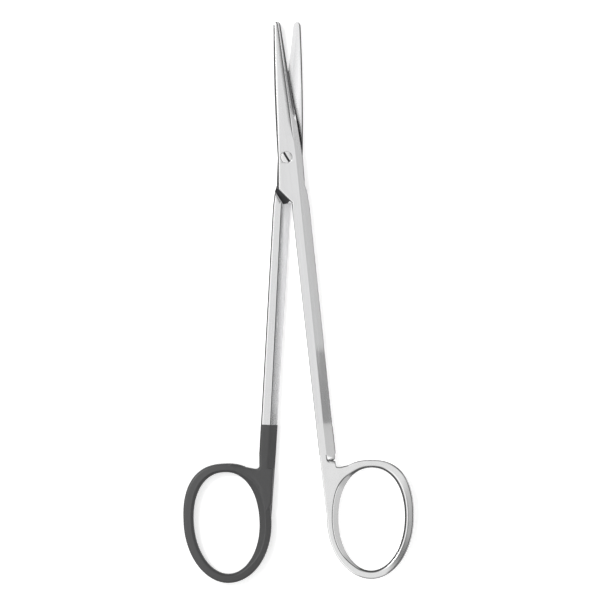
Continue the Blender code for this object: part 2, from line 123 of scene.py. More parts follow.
def left_side(y):
    if y > 0:
        return -bow(y, 0.00312, 0.00094, 0.00028)
    return along(y, [
        (0.0, -0.00312),
        (-HEEL_DROP, -0.00378),
        (-CROTCH_DROP, -0.00076),
        (-NECK_DROP, 0.0001),
        (-SHANK_END_DROP, egg(184, RIM).x + 0.00012),
    ])


def right_side(y):
    if y > 0:
        return bow(y, 0.00312, 0.00072, -0.0001)
    return along(y, [
        (0.0, 0.00312),
        (-WAIST_DROP, 0.00304),
        (-0.0086, 0.00342),
        (-SHANK_TOP_DROP, 0.00372),
        (-NECK_DROP, 0.00422),
        (-SHANK_END_DROP, egg(184, HOLE).x - 0.00012),
    ])


def front_ridge(y):
    """x of the crest between the front flat and the bevel."""
    return along(y, [(BLADE_LENGTH, 0.00012), (0.0, 0.00142), (-NECK_DROP, 0.00185)])


def under_ridge(y):
    """x of the edge between the shank's flat underside and its under bevel."""
    return along(y, [(-CROTCH_DROP, 0.00195), (-NECK_DROP, 0.0021)])


print("joint", round((right_side(0) - left_side(0)) * 1000, 2), "mm wide at the screw")

# %% [markdown]
# ## Sections with broken edges
#
# Nobody leaves a sharp corner on a surgical instrument, apart from the cutting edge. After forging, each long
# edge is broken on a belt: a narrow facet that falls steeply, and a wider, almost flat one inside it. In
# a photograph these two make the thin dark line and the fine highlight round all the steel. A Bevel
# modifier could cut them, but its width wanders where the section changes. So the section itself carries
# them: every corner is a small polygon whose own corners are rounded.

# %% Rounding the corners of a section
CORNER_STEPS = 4


def rounded(corners):
    """Points along a closed polygon of (x, z, reach) corners, each cut back by reach and turned smoothly."""
    points = []
    count = len(corners)
    for i, (x, z, reach) in enumerate(corners):
        corner = Vector((x, z))
        before = Vector(corners[i - 1][:2]) - corner
        after = Vector(corners[(i + 1) % count][:2]) - corner
        start = corner + before.normalized() * min(reach, 0.48 * before.length)
        stop = corner + after.normalized() * min(reach, 0.48 * after.length)
        for k in range(CORNER_STEPS + 1):
            t = k / CORNER_STEPS
            points.append(start.lerp(corner, t).lerp(corner.lerp(stop, t), t))
    return points


def broken_edge(x, z, inwards, down, size):
    """Three corners of a broken edge, from its steep facet to the face. The face is level at z."""
    steep, gentle = 0.00044 * size, 0.00034 * size
    fall = 0.00004 * size
    drop = fall + 0.00036 * size
    return [
        (x, z + down * drop, 0.00005 * size),
        (x + inwards * steep, z + down * fall, 0.00010 * size),
        (x + inwards * (steep + gentle), z, 0.00012 * size),
    ]


# %% [markdown]
# A section runs clockwise from the foot of its left side: broken edge, flat, ridge, bevel, ground strip, then
# back along the underside. The blade's underside is the ride face, hollow ground so that only its rims
# touch. The ground strip sharpens the cutting edge: it is almost flat, under a steep wall, and both run
# out before the joint. Below the screw the underside drops to the table in one step, and the lap cutter
# shapes that step into the shoulder. The shank's under bevel passes just over the ride plane on the
# shut centre line, so that the two shanks nest when the scissors are shut.

# %% Sizes of the section
STEP_DROP = 0.0063        # below the screw, inside what the lap cutter takes away
UNDER_POINTS = 9          # on each half of the underside, for the hollow grind
EDGE_END = 0.0069         # over the screw, where the ground strip has run out
EDGE_FULL = 0.0105        # over the screw, from where the ground strip has its full tilt
EDGE_WALL = 0.00012       # thickness left under the ground strip
FIRST_PASS_END = 0.0468   # the bevel's two grinding passes meet between these two drops
SECOND_PASS_START = 0.0492
UNDER_START = 0.00048     # from the under ridge to the under bevel
UNDER_LIFT = 0.00017      # height of the under bevel there
NEST_HEIGHT = RIDE + 0.00009  # of the under bevel on the centre line
FOOT_TURN = 0.00012       # of the shank's left foot
FACET_FALL = 0.96         # of the narrow facet at the bevel's foot, for each metre of its width


def edge_size(y):
    return along(y, [(BLADE_LENGTH, 0.8), (0.022, 1.05), (0.008, 1.05), (0.0, 0.7), (-0.02, 0.75)])


def hollow(x, y):
    """Height of the hollow grind over the ride face."""
    near, far = 0.0065, BLADE_LENGTH - 0.0022
    middle_x, half_width, depth = -0.0004, 0.0016, 0.00006
    u = (x - middle_x) / half_width
    v = (y - (near + far) / 2) / ((far - near) / 2)
    return depth * max(0.0, 1 - u * u - v * v) ** 2


def steep(degrees):
    """Fall of a face for each metre across, from its tilt."""
    return math.tan(math.radians(degrees))


def bevel_tilt(y):
    """The front bevel is ground in passes, each at its own tilt, and runs out at the neck."""
    return along(y, [
        (-FIRST_PASS_END, 35.5),
        (-SECOND_PASS_START, 41.5),
        (-COAT_DROP, 41.5),
        (-COAT_DROP - 0.0015, 37),
        (-NECK_DROP - 0.0006, 37),
        (-NECK_DROP - 0.0018, 25),
        (-NECK_DROP - 0.0021, 8),
        (-NECK_DROP - 0.0028, 0.5),
    ])


print("bevel tilt", bevel_tilt(0), "degrees at the screw,", bevel_tilt(-COAT_DROP), "at the coat line")


# %% The foot: rim of the ride face, or end of the under bevel
def foot_corners(y, left):
    if y > -STEP_DROP:
        return [(left + 0.00045, RIDE_FACE, 0.00004), (left + 0.00028, RIDE_FACE + 0.00001, 0.00003),
                (left, RIDE_FACE + 0.000088, 0.00001)]
    under = under_ridge(y) - UNDER_START
    rise = (NEST_HEIGHT - UNDER_LIFT) / under
    z = UNDER_LIFT + rise * (under - left - FOOT_TURN)
    z = min(z, along(y, [(-HEEL_DROP, RIDE - 0.00045), (-CROTCH_DROP, 0.0026)]))
    side = z + FOOT_TURN
    return [(left + FOOT_TURN, z, 0.00003), (left, side, 0.00003), (left, side + 0.0001, 0.00003)]


# %% Ridge, bevel and ground strip
def bevel_corners(y, right, top):
    """Corners from the ridge to the foot of the bevel, and the fall of the ground strip."""
    ridge = front_ridge(y)
    soft = along(y, [(BLADE_LENGTH, 0.45), (0.022, 0.9), (0.009, 0.8), (0.004, 0.03)])
    crest = top - 0.00011 * soft
    ground = along(y, [(BLADE_LENGTH, 0.0003), (0.020, 0.0005), (0.0117, 0.0006), (EDGE_END, 0.00001)])
    inner = right - ground
    shallow = steep(bevel_tilt(y))
    sharp = steep(along(y, [(EDGE_FULL, 68), (EDGE_END, 55)]))
    strip_fall = steep(along(y, [(EDGE_FULL, 15), (EDGE_END, 43)])) * ground
    if y > EDGE_END:
        wall = along(y, [(0.012, EDGE_WALL), (EDGE_END, 0.00064)])
        low = RIDE + wall + strip_fall
        turn = (low - crest - shallow * ridge + sharp * inner) / (sharp - shallow)
        turn = min(max(turn, ridge + 0.00002), inner - 0.00002)
        facet = 0.00001
    else:
        facet = along(y, [(EDGE_END, 0.00004), (0.0, 0.00016), (-0.012, 0.0002), (-0.05, 0.00024)])
        low = crest - shallow * (inner - facet - ridge) - FACET_FALL * facet
        turn = mix(ridge, inner - facet, 0.98)
    ridge_reach = along(y, [(0.012, 0.00004), (0.004, 0.0005), (-0.04, 0.00045), (-COAT_DROP, 0.0001)])
    corners = [
        (ridge - 0.00095 * soft, top, 0.00018 * soft),
        (ridge - 0.0005 * soft, top - 0.00003 * soft, 0.0002 * soft),
        (ridge, crest, ridge_reach),
        (turn, crest - shallow * (turn - ridge), 0.00002),
        (inner - facet, low + FACET_FALL * facet, 0.00003),
        (inner, low, 0.00002),
    ]
    return corners, low - strip_fall


def section_corners(y):
    """Corners of the section from the left foot to the cutting edge or outer side, as (x, z, reach)."""
    left, right = left_side(y), right_side(y)
    size = edge_size(y)
    top = along(y, [(BLADE_LENGTH, RIDE + 0.00085), (0.0040, THICKNESS)])
    shoulder = broken_edge(left, top, 1, -1, along(y, [(-CROTCH_DROP, size), (-CROTCH_DROP - 0.002, 0.3)]))
    bevel, edge_height = bevel_corners(y, right, top)
    if y > 0.012:
        edge_height = RIDE + EDGE_WALL
    if y > -STEP_DROP:
        edge = [(right, edge_height, 0.00001), (right, RIDE_FACE, 0.00001),
                (right - 0.00002, RIDE_FACE, 0.00001)]
    else:
        edge = broken_edge(right, 0.0, -1, 1, size)
    return foot_corners(y, left) + shoulder + bevel + edge


# %% The whole section, with its underside
def working_section(y):
    """The whole closed section at y, as (x, z) points."""
    over_step = y > -STEP_DROP
    left, right = left_side(y), right_side(y)
    turn = mix(left, right, 0.55)
    if over_step:
        turns = [(0.0, RIDE_FACE), (0.00016, RIDE_FACE), (UNDER_START, RIDE_FACE)]
    else:
        turn = mix(turn, under_ridge(y), along(y, [(-HEEL_DROP, 0.0), (-CROTCH_DROP, 1.0)]))
        turns = [(0.0, 0.0), (0.00016, 0.00008), (UNDER_START, UNDER_LIFT)]
    turns = [(turn - x, z, reach) for (x, z), reach in zip(turns, (0.00003, 0.00002, 0.00002))]
    points = rounded(section_corners(y) + turns)
    turned_at = 3 * (CORNER_STEPS + 1)
    edge_end, turn_start = points[-turned_at - 1], points[-turned_at]
    turn_end, foot_start = points[-1], points[0]
    near = [edge_end.lerp(turn_start, (i + 1) / (UNDER_POINTS + 1)) for i in range(UNDER_POINTS)]
    far = [turn_end.lerp(foot_start, (i + 1) / (UNDER_POINTS + 1)) for i in range(UNDER_POINTS)]
    points = points[:-turned_at] + near + points[-turned_at:] + far
    if over_step:
        points = [Vector((p.x, p.y + (hollow(p.x, y) if p.y < RIDE_FACE + 1e-7 else 0.0))) for p in points]
    return points


print("section", len(working_section(0.0)), "points")


# %% [markdown]
# ## From sections to a solid
#
# The sections stand close together along the lever, and a skin is drawn through them: a loft. The blade's
# last sections shrink into the blunt tip. The stations are set where the outline turns, so that heel,
# waist and shoulder stay crisp. From the coat line down the shank gets thinner, until it is level with
# the ring.

# %% Lofting a closed skin
TIP_ROUND = 0.00085


def loft(rings):
    """A closed skin through equal rings of points, capped at both ends."""
    bm = bmesh.new()
    loops = [[bm.verts.new(point) for point in ring] for ring in rings]
    for first, second in zip(loops, loops[1:]):
        count = len(first)
        for i in range(count):
            j = (i + 1) % count
            bm.faces.new((first[i], first[j], second[j], second[i]))
    bm.faces.new(loops[0])
    bm.faces.new(loops[-1])
    bmesh.ops.recalc_face_normals(bm, faces=bm.faces)
    return bm


def stations(start, stop, step):
    count = max(1, round((start - stop) / step))
    return [mix(start, stop, i / count) for i in range(count)]


def tip_section(y):
    points = working_section(y)
    overrun = y - (BLADE_LENGTH - TIP_ROUND)
    if overrun > 0:
        shrink = math.sqrt(max(0.0, 1 - (overrun / TIP_ROUND) ** 2))
        middle = (0.00072 - 0.00094) / 2
        points = [Vector((mix(middle, p.x, shrink), mix(RIDE_FACE, p.y, 0.6 + 0.4 * shrink))) for p in points]
    return points


HANDLE_HALF = 0.0015      # half of the thickness of ring and web
BLANK_DROP = NECK_DROP + 0.0004  # here the milled blank ends and the handle's skin begins


def thinned(y):
    """The section, thinned from the coat line down until it is level with the ring."""
    share = min(1.0, max(0.0, (-COAT_DROP - y) / (NECK_DROP - COAT_DROP)))
    scale = mix(1.0, HANDLE_HALF / RIDE, share)
    return [Vector((p.x, RIDE + (p.y - RIDE) * scale)) for p in tip_section(y)]


def working_mesh():
    """Blade, joint and shank down to the neck, before the lap is cut."""
    marks = [BLADE_LENGTH - TIP_ROUND * (1 - math.cos(math.radians(a))) for a in range(8, 90, 8)]
    marks += stations(BLADE_LENGTH - TIP_ROUND, 0.0117, 0.0005) + stations(0.0117, EDGE_END + 0.00001, 0.0003)
    marks += [EDGE_END + 0.00001, EDGE_END - 0.00001] + stations(0.0066, 0.0040, 0.0003)
    marks += stations(0.0040, 0.0, 0.0005) + stations(0.0, -STEP_DROP + 0.00002, 0.0005)
    marks += [-STEP_DROP + 0.00002, -STEP_DROP - 0.00002]
    turns = [-STEP_DROP - 0.00002, -WAIST_DROP, -HEEL_DROP, -0.0086, -CROTCH_DROP, -SHANK_TOP_DROP,
             -FIRST_PASS_END, -SECOND_PASS_START, -COAT_DROP, -BLANK_DROP]
    for start, stop in zip(turns, turns[1:]):
        marks += stations(start, stop, 0.0006)[1:] + [stop]
    rings = [[Vector((p.x, y, p.y)) for p in thinned(y)] for y in marks]
    return loft(rings)


def linked(obj):
    bpy.context.scene.collection.objects.link(obj)
    return obj


def object_of(bm, name):
    mesh = bpy.data.meshes.new(name)
    bm.to_mesh(mesh)
    bm.free()
    return linked(bpy.data.objects.new(name, mesh))


def applied(obj):
    """The object with its modifiers made real."""
    bpy.context.view_layer.update()
    mesh = bpy.data.meshes.new_from_object(obj.evaluated_get(bpy.context.evaluated_depsgraph_get()))
    obj.modifiers.clear()
    obj.data = mesh
    return obj


blank = object_of(working_mesh(), "lever_blank")
print("blank", len(blank.data.vertices), "points")

# %% [markdown]
# ## Cutting the lap and the screw hole
#
# On the real lever the lap is milled away and the screw hole drilled and countersunk. Boolean modifiers do
# the same here. The lap cutter flares at its outer end, so it also breaks the shoulder's edge.

# %% The lap cutter
SHOULDER_FOOT = Vector((0.0012, -0.0117))
SHOULDER_INNER = Vector((-0.00076, -0.0112))
SHOULDER_SLANT = 55.0
CUT_TOP_DROP = 0.006
CUT_REACH, SLANT_REACH = 0.006, 0.0066  # of the cutter past the lever's sides


def shoulder_line(offset):
    """Plan of the lap cut with its two walls moved back by offset."""
    slant = Vector((math.cos(math.radians(SHOULDER_SLANT)), math.sin(math.radians(SHOULDER_SLANT))))
    inner = (SHOULDER_INNER - SHOULDER_FOOT).normalized()
    back_right = Vector((slant.y, -slant.x)) * offset
    back_left = Vector((inner.y, -inner.x)) * offset
    if back_left.y > 0:
        back_left = -back_left
    matrix = Matrix(((slant.x, -inner.x), (slant.y, -inner.y)))
    along_right = matrix.inverted() @ (back_left - back_right)
    foot = SHOULDER_FOOT + back_right + slant * along_right.x
    return [
        Vector((foot.x + slant.x * SLANT_REACH, -CUT_TOP_DROP)),
        Vector((foot.x + inner.x * CUT_REACH, -CUT_TOP_DROP)),
        foot + inner * CUT_REACH,
        foot,
        foot + slant * SLANT_REACH,
    ]


def lap_cutter():
    levels = [(RIDE_FACE + 0.000002, 0.0), (0.00028, 0.0), (0.00004, 0.0003), (-0.00002, 0.00081)]
    rings = [[Vector((p.x, p.y, z)) for p in shoulder_line(offset)] for z, offset in levels]
    return object_of(loft(rings), "lap_cutter")


def turned(profile, name, steps=96):
    """A closed solid from (radius, z) points turned about the z axis. Its ends lie on the axis."""
    bm = bmesh.new()
    rings = []
    for r, z in profile:
        if r == 0:
            rings.append([bm.verts.new((0, 0, z))])
        else:
            turn = [2 * math.pi * i / steps for i in range(steps)]
            rings.append([bm.verts.new((r * math.cos(a), r * math.sin(a), z)) for a in turn])
    for first, second in zip(rings, rings[1:]):
        for i in range(steps):
            j = (i + 1) % steps
            if len(first) == 1:
                bm.faces.new((first[0], second[j], second[i]))
            elif len(second) == 1:
                bm.faces.new((first[i], first[j], second[0]))
            else:
                bm.faces.new((first[i], first[j], second[j], second[i]))
    bmesh.ops.recalc_face_normals(bm, faces=bm.faces)
    return object_of(bm, name)


def cut(obj, cutter):
    modifier = obj.modifiers.new("Cut", "BOOLEAN")
    modifier.operation = "DIFFERENCE"
    modifier.solver = "EXACT"
    modifier.object = cutter
    applied(obj)
    bpy.data.objects.remove(cutter)


cut(blank, lap_cutter())
print("after the lap", len(blank.data.vertices), "points")

# %% [markdown]
# ## The finger ring
#
# The ring follows a rule: one rounded section is carried round an egg-shaped path, while its width changes
# from the hole to the rim. That is work for Geometry Nodes. A flat grid gives a point for each place
# round the ring and round the section, and the tree moves each of them by the rule. A curve with a
# bevel would be quicker, but it only scales its section, and here the height stays the same.

# %% A small helper for node maths
def node_maths(tree):
    """Returns a function that adds one Math node to the tree and gives its output."""
    def maths(operation, *values):
        node = tree.nodes.new("ShaderNodeMath")
        node.operation = operation
        for socket, value in zip(node.inputs, values):
            if isinstance(value, bpy.types.NodeSocket):
                tree.links.new(value, socket)
            else:
                socket.default_value = value
        return node.outputs[0]
    return maths


def smooth_range(tree, value, start, stop, lowest=0.0):
    """Goes over from lowest to 1 while the value goes from start to stop."""
    node = tree.nodes.new("ShaderNodeMapRange")
    node.interpolation_type = "SMOOTHSTEP"
    for name, number in (("From Min", start), ("From Max", stop), ("To Min", lowest)):
        node.inputs[name].default_value = number
    tree.links.new(value, node.inputs["Value"])
    return node.outputs["Result"]


# %% The ring's tree
RING_INPUTS = {
    "Hole Half Width": HOLE["in"], "Hole Top": HOLE["top"], "Hole Bottom": HOLE["bottom"],
    "Hole Squareness": HOLE["square"], "Rim Inner": RIM["in"], "Rim Outer": RIM["out"],
    "Rim Top": RIM["top"], "Rim Bottom": RIM["bottom"], "Rim Squareness": RIM["square"],
    "Half Thickness": HANDLE_HALF, "Bevel Share": 0.27, "Bevel Share At Shank": 0.52, "Bevel Fall": 1.3,
}
# shares over the way from the middle of the hole's wall (0) to the middle of the rim (1)
INNER_WALL = [(0.0, 0.0), (0.12, 1.0), (1.0, 1.0)]
BEVEL_WAY = [(0.0, 0.0), (0.12, 0.0), (0.45, 1.0), (1.0, 1.0)]
OUTER_WAY = [(0.0, 0.0), (0.45, 0.0), (0.52, 0.12), (0.65, 0.45), (0.77, 0.8), (0.85, 0.93), (0.92, 1.0),
             (1.0, 1.0)]
ROUND_FALL = [(0.0, 0.0), (0.45, 0.0), (0.52, 0.038), (0.65, 0.078), (0.77, 0.121), (0.85, 0.23),
              (0.92, 0.36), (1.0, 1.0)]
FLAT_FALL = [(0.0, 0.0), (0.45, 0.0), (0.77, 0.004), (0.85, 0.05), (0.92, 0.16), (1.0, 1.0)]


def ring_tree(places, section_points, material):
    tree = bpy.data.node_groups.new("finger_ring", "GeometryNodeTree")
    for name, size in RING_INPUTS.items():
        socket = tree.interface.new_socket(name, in_out="INPUT", socket_type="NodeSocketFloat")
        socket.default_value = size
    tree.interface.new_socket("Geometry", in_out="OUTPUT", socket_type="NodeSocketGeometry")
    maths = node_maths(tree)
    given = tree.nodes.new("NodeGroupInput").outputs
    grid = tree.nodes.new("GeometryNodeMeshGrid")
    grid.inputs["Vertices X"].default_value = places + 1
    grid.inputs["Vertices Y"].default_value = section_points + 1
    place = tree.nodes.new("ShaderNodeSeparateXYZ")
    tree.links.new(tree.nodes.new("GeometryNodeInputPosition").outputs[0], place.inputs[0])
    round_ring = maths("MULTIPLY", maths("ADD", place.outputs[0], 0.5), 2 * math.pi)

    def drawn(points, value):
        node = tree.nodes.new("ShaderNodeFloatCurve")
        curve = node.mapping.curves[0]
        curve.points[0].location, curve.points[1].location = points[0], points[-1]
        for x, y in points[1:-1]:
            curve.points.new(x, y)
        for point in curve.points:
            point.handle_type = "VECTOR"
        node.mapping.update()
        tree.links.new(value, node.inputs["Value"])
        return node.outputs[0]

    def then(kind, before):
        """A node that takes the geometry of the one before."""
        node = tree.nodes.new(kind)
        tree.links.new(before.outputs[0], node.inputs[0])
        return node

    def shaped(value, power):
        return maths("MULTIPLY", maths("SIGN", value), maths("POWER", maths("ABSOLUTE", value), power))

    def blend(low, high, share):
        return maths("ADD", maths("MULTIPLY", low, maths("SUBTRACT", 1.0, share)),
                     maths("MULTIPLY", high, share))

    def pick(value, over, under):
        return blend(under, over, maths("GREATER_THAN", value, 0.0))

    def near(direction, full, none):
        """1 where the ring lies in this direction, 0 further round than none degrees."""
        facing = maths("COSINE", maths("SUBTRACT", round_ring, math.radians(direction)))
        return smooth_range(tree, facing, math.cos(math.radians(none)), math.cos(math.radians(full)))

    c, s = maths("COSINE", round_ring), maths("SINE", round_ring)
    way = maths("SUBTRACT", 1.0, maths("ABSOLUTE", maths("MULTIPLY", place.outputs[1], 2.0)))
    upper = maths("SIGN", maths("ADD", place.outputs[1], 1e-9))
    bevel = blend(given["Bevel Share"], given["Bevel Share At Shank"], near(180, 20, 65))
    edge = maths("SUBTRACT", 1.0, maths("MULTIPLY", bevel, given["Bevel Fall"]))
    bevel_way = drawn(BEVEL_WAY, way)
    t = blend(drawn(OUTER_WAY, way), bevel_way, bevel)
    flat = maths("MULTIPLY", maths("SUBTRACT", 1.0, near(-12, 22, 58)), maths("GREATER_THAN", upper, 0.0))
    fall = blend(drawn(ROUND_FALL, way), drawn(FLAT_FALL, way), flat)
    up = maths("SUBTRACT", blend(bevel_way, drawn(INNER_WALL, way), edge), fall)
    ends = []
    for inner, outer, top, bottom, square in (
            ("Hole Half Width", "Hole Half Width", "Hole Top", "Hole Bottom", "Hole Squareness"),
            ("Rim Inner", "Rim Outer", "Rim Top", "Rim Bottom", "Rim Squareness")):
        power = pick(s, maths("DIVIDE", 2.0, given[square]), 1.0)
        x = maths("MULTIPLY", shaped(c, power), pick(c, given[outer], given[inner]))
        y = maths("MULTIPLY", shaped(s, power), pick(s, given[top], given[bottom]))
        ends.append((x, y))
    place_on = tree.nodes.new("ShaderNodeCombineXYZ")
    for axis in (0, 1):
        tree.links.new(blend(ends[0][axis], ends[1][axis], t), place_on.inputs[axis])
    height = maths("MULTIPLY", maths("MULTIPLY", up, upper), given["Half Thickness"])
    tree.links.new(height, place_on.inputs[2])
    move = then("GeometryNodeSetPosition", grid)
    tree.links.new(place_on.outputs[0], move.inputs["Position"])
    close = then("GeometryNodeMergeByDistance", move)
    close.inputs["Distance"].default_value = 1e-6
    paint = then("GeometryNodeSetMaterial", then("GeometryNodeRealizeInstances", close))
    paint.inputs["Material"].default_value = material
    then("NodeGroupOutput", paint)
    return tree


def ring_object(places, section_points, material):
    obj = object_of(bmesh.new(), "finger_ring")
    modifier = obj.modifiers.new("Ring", "NODES")
    modifier.node_group = ring_tree(places, section_points, material)
    for item in modifier.node_group.interface.items_tree:
        if item.in_out == "INPUT":
            modifier[item.identifier] = RING_INPUTS[item.name]
    applied(obj)
    obj.data.transform(Matrix.Translation((*RING_CENTRE, RIDE)) @ Matrix.Rotation(
        math.radians(-RING_LEAN), 4, "Z"))
    return obj


handle_steel = bpy.data.materials.new("polished_handle_steel")
ring = ring_object(places=240, section_points=80, material=handle_steel)
print("ring", len(ring.data.vertices), "points")

# %% [markdown]
# ## Shank end, web and ring become one handle
#
# The ring is forged in one with the shank, so where they meet the surface flows. The shank's end, a thin
# web and the ring are put together as overlapping solids. A voxel remesh makes one skin of them, and
# some smoothing lays a soft fillet along every line where they met. A remesh would blunt the blade and
# the ridges, so it takes only the handle, and the milled blank above the neck keeps its crisp lines.

# %% The shank's end, level with the ring
def band_point(angle, t):
    """A point of the ring's band, from the hole (0) to the rim (1)."""
    return egg(angle, HOLE).lerp(egg(angle, RIM), t)


crest = [band_point(angle, mix(0.27, 0.56, min(1, (angle - 95) / 60))) for angle in range(95, 185, 3)]
crest_line = [(point.y, point.x) for point in crest]


def handle_section(y):
    """The shank's section without what would stick out over the band's crest."""
    limit = along(y, crest_line) if y < crest_line[0][0] else 1.0
    return [Vector((min(p.x, limit), p.y)) for p in thinned(y)]


def shank_end():
    marks = stations(-BLANK_DROP + 0.0012, -SHANK_END_DROP, 0.0003) + [-SHANK_END_DROP]
    return object_of(loft([[Vector((p.x, y, p.y)) for p in handle_section(y)] for y in marks]), "shank_end")


# %% The web in the corner between shank and crown
FILLET, FILLET_STEPS = 0.0013, 8


def inset(outline, distance):
    """The outline drawn in by distance. It runs counter-clockwise."""
    points = []
    for i, point in enumerate(outline):
        run = outline[(i + 1) % len(outline)] - outline[i - 1]
        points.append(point + Vector((-run.y, run.x)).normalized() * distance)
    return points


def web():
    crown = band_point(95, 0.97)
    corner_y = egg(90, RIM).y - 0.00108
    corner = Vector((right_side(corner_y), corner_y))
    start = corner + Vector((0, FILLET))
    stop = corner + (crown - corner).normalized() * FILLET
    ridge = front_ridge(-NECK_DROP)
    outline = [Vector((ridge + x, y - NECK_DROP)) for x, y in (
        (0.0019, -0.0029), (0.0008, -0.0030), (-0.0002, -0.0031), (-0.0014, -0.0033), (-0.0014, -0.012))]
    outline += [band_point(angle, 0.58) for angle in range(177, 94, -6)]
    outline.append(crown)
    turn = [s / FILLET_STEPS for s in range(FILLET_STEPS + 1)]
    outline += [stop.lerp(corner, t).lerp(corner.lerp(start, t), t) for t in turn]
    levels = [(-1.0, 0.00036), (-0.86, 0.00012), (-0.7, 0.00003), (-0.5, 0.0)]
    levels += [(-z, distance) for z, distance in reversed(levels)]
    rings = [[Vector((p.x, p.y, RIDE + z * HANDLE_HALF)) for p in inset(outline, d)] for z, d in levels]
    return object_of(loft(rings), "web")


# %% One skin for the handle
def joined(objects, name):
    bm = bmesh.new()
    for obj in objects:
        bm.from_mesh(obj.data)
        bpy.data.objects.remove(obj)
    return object_of(bm, name)


def handle():
    obj = joined([ring, shank_end(), web()], "handle")
    skin = obj.modifiers.new("Skin", "REMESH")
    skin.mode = "VOXEL"
    skin.voxel_size = 0.000125
    soften = obj.modifiers.new("Soften", "SMOOTH")
    soften.factor = 0.5
    soften.iterations = 7
    applied(obj)
    bm = bmesh.new()
    bm.from_mesh(obj.data)
    cutting = bmesh.ops.bisect_plane(bm, geom=bm.verts[:] + bm.edges[:] + bm.faces[:], dist=1e-7,
                                     plane_co=(0, -BLANK_DROP, 0), plane_no=(0, 1, 0), clear_outer=True)
    rim = [e for e in cutting["geom_cut"] if isinstance(e, bmesh.types.BMEdge)]
    bmesh.ops.contextual_create(bm, geom=rim)
    bmesh.ops.recalc_face_normals(bm, faces=bm.faces)
    bm.to_mesh(obj.data)
    bm.free()
    return obj


grip = handle()
print("handle", len(grip.data.vertices), "points", len(grip.data.polygons), "faces")

# %% [markdown]
# ## Two levers from one blank
#
# Each lever is a copy of the milled blank and the handle. The back one is turned over about the centre line.
# The front lever's hole is countersunk for the screw head, and the back lever's is the plain threaded
# one. Then each lever turns to its own side by half of the opening angle.

# %% Marking the edges
def edge_mask(point):
    """1 on the broken edges and ridges of the working part, 0 on its faces."""
    x, y, z = point
    if y < -BLANK_DROP:
        return 0.0
    reach = 0.00064 * edge_size(y)
    near = min(x - left_side(y), right_side(y) - x)
    mask = 1.0 - near / reach
    ridge = front_ridge(y) if z > RIDE else under_ridge(y)
    mask = max(mask, 1.0 - abs(x - ridge) / 0.00028)
    return min(1.0, max(0.0, 2.0 * mask))


def mark_edges(obj):
    values = [edge_mask(v.co) for v in obj.data.vertices]
    layer = obj.data.attributes.new("edge", "FLOAT", "POINT")
    layer.data.foreach_set("value", values)


# %% Placing a lever
JOINT_FACE_TOP = 0.004    # over the screw: below this the ride face gets the near-black lap colour, which is painted shade
SHARP_HAND, SHARP_WORK = 32, 14  # an edge is sharp from this angle, in the flowing and in the ground part
MOUTH_SHIFT = 0.00005     # of the hole's broken rim, worn a little to one side


def copy_of(obj):
    twin = obj.copy()
    twin.data = obj.data.copy()
    return linked(twin)


def dress(obj, materials):
    """Adds the slots. Clearing old slots would set every face back to the first one."""
    for material in materials:
        obj.data.materials.append(material)


def lever(name, turned_over, bore_profile, materials, opening=None):
    """materials are those of the working part, the blade's inner face with its painted shade, the handle, and
    the lap, painted near black as shade.
    """
    work, hand = copy_of(blank), copy_of(grip)
    for part in (work, hand):
        dress(part, materials)
    for face in hand.data.polygons:
        face.material_index = 2
    hand.data.shade_smooth()
    hand.data.set_sharp_from_angle(angle=math.radians(SHARP_HAND))
    pivot_x = PIVOT_OFFSET if turned_over else -PIVOT_OFFSET
    bore = turned(bore_profile, "bore")
    flip = Matrix.Identity(4)
    if turned_over:
        middle = Matrix.Translation((0, 0, RIDE))
        flip = middle @ Matrix.Rotation(math.pi, 4, "Y") @ middle.inverted()
    bore.data.transform(flip)
    bore.data.transform(Matrix.Translation((pivot_x, 0, 0)))
    cut(work, bore)
    if opening:
        mouth = turned(opening, "mouth")
        mouth.data.transform(Matrix.Translation((pivot_x - MOUTH_SHIFT, -MOUTH_SHIFT, 0)))
        cut(work, mouth)
    for face in work.data.polygons:
        face.material_index = 0 if face.center.y > -COAT_DROP else 2
        # Ride faces: slot 1 darkens next to an overhanging wall, and slot 3 is the lap's near-black colour;
        # both are painted shade.
        if face.normal.z < -0.97 and RIDE < face.center.z < RIDE + 0.00035:
            face.material_index = 1 if face.center.y > JOINT_FACE_TOP else 3
    work.data.shade_smooth()
    work.data.set_sharp_from_angle(angle=math.radians(SHARP_WORK))
    obj = joined([work, hand], name)
    dress(obj, materials)
    mark_edges(obj)
    turn = -OPEN_ANGLE / 2 if turned_over else OPEN_ANGLE / 2
    place = Matrix.Translation(PIVOT) @ Matrix.Rotation(math.radians(turn), 4, "Z")
    obj.data.transform(place @ flip @ Matrix.Translation((-pivot_x, 0, 0)))
    obj.data.update()
    even = obj.modifiers.new("Even", "WEIGHTED_NORMAL")
    even.keep_sharp = True
    applied(obj)
    print(name, len(obj.data.polygons), "faces")
    return obj


# %% [markdown]
# ## Steel, four finishes
#
# All of it is the same stainless steel, so the colour hardly changes and the finish does the work. Blade,
# joint and shank are satin: a fine belt grain that runs along the lever, with polished edges. The blades'
# ride faces are ground smoother, and next to a wall that stands over them their colour is darkened almost
# to black: painted shade. The lap behind the joint is painted near black, which is painted shade too. The
# front handle is polished, with faint smears. The grain and the smears are node groups, since every finish
# uses them with its own numbers. Image textures could do this too, but nodes keep their detail at any
# distance.

# %% Shader helpers
def shader_group(name, sizes, results):
    """A node group with a vector and its sizes as named inputs."""
    group = bpy.data.node_groups.new(name, "ShaderNodeTree")
    group.interface.new_socket("Vector", in_out="INPUT", socket_type="NodeSocketVector")
    for size, value in sizes.items():
        socket = group.interface.new_socket(size, in_out="INPUT", socket_type="NodeSocketFloat")
        socket.default_value = value
    for result in results:
        group.interface.new_socket(result, in_out="OUTPUT", socket_type="NodeSocketFloat")
    return group, group.nodes.new("NodeGroupInput").outputs, group.nodes.new("NodeGroupOutput").inputs


